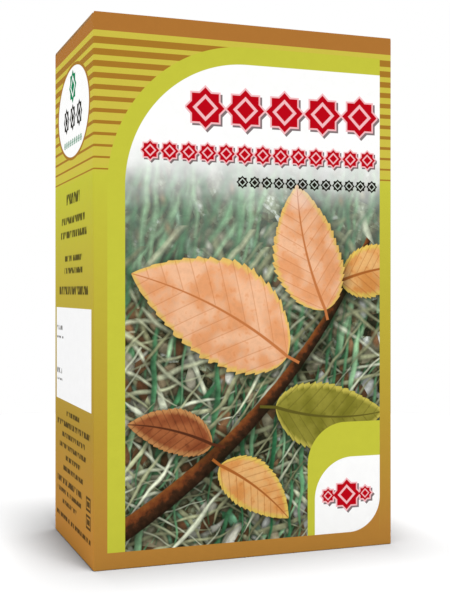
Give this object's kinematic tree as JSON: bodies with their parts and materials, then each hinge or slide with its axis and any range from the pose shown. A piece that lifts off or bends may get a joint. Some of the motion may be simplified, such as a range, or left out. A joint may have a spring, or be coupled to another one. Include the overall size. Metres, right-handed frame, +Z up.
{
  "type": "folding carton",
  "caption": "Upright printed paperboard carton for dried herbs or mushrooms, with a tucked lid that hinges at the back, dust flaps under it and a glued bottom.",
  "frame": {"origin": "middle of the base", "axes": "+Z up the carton's height, -Y out of the printed front, +X to the right of someone who looks at the front"},
  "size_m": [0.075, 0.045, 0.125],
  "materials": {
    "wall_print": "printed and satin varnished outside, bare grey board inside",
    "end_print": "printed plain brown and satin varnished outside, bare grey board inside",
    "bare_board": "bare, matt, uncoated board"
  },
  "bodies": {
    "sleeve": {"sleeve": "wall_print", "bottom_outer_flap": "end_print", "bottom_inner_flap": "bare_board", "bottom_dust_flap_left": "bare_board", "bottom_dust_flap_right": "bare_board"},
    "lid": {"lid": "end_print"},
    "dust_flap_left": {"dust_flap_left": "bare_board"},
    "dust_flap_right": {"dust_flap_right": "bare_board"}
  },
  "joints": [
    {"name": "lid_hinge", "type": "hinge", "parent": "sleeve", "child": "lid", "pos_m": [0, 0.0223, 0.1248], "axis": [-1, 0, 0], "range_deg": [0, 180]},
    {"name": "dust_flap_left_hinge", "type": "hinge", "parent": "sleeve", "child": "dust_flap_left", "pos_m": [-0.0373, 0, 0.1241], "axis": [0, -1, 0], "range_deg": [0, 90]},
    {"name": "dust_flap_right_hinge", "type": "hinge", "parent": "sleeve", "child": "dust_flap_right", "pos_m": [0.0373, 0, 0.1241], "axis": [0, 1, 0], "range_deg": [0, 90]}
  ],
  "couplings": [
    {"joint": "dust_flap_left_hinge", "follows": "lid_hinge", "ratio": 0.5},
    {"joint": "dust_flap_right_hinge", "follows": "lid_hinge", "ratio": 0.5}
  ]
}
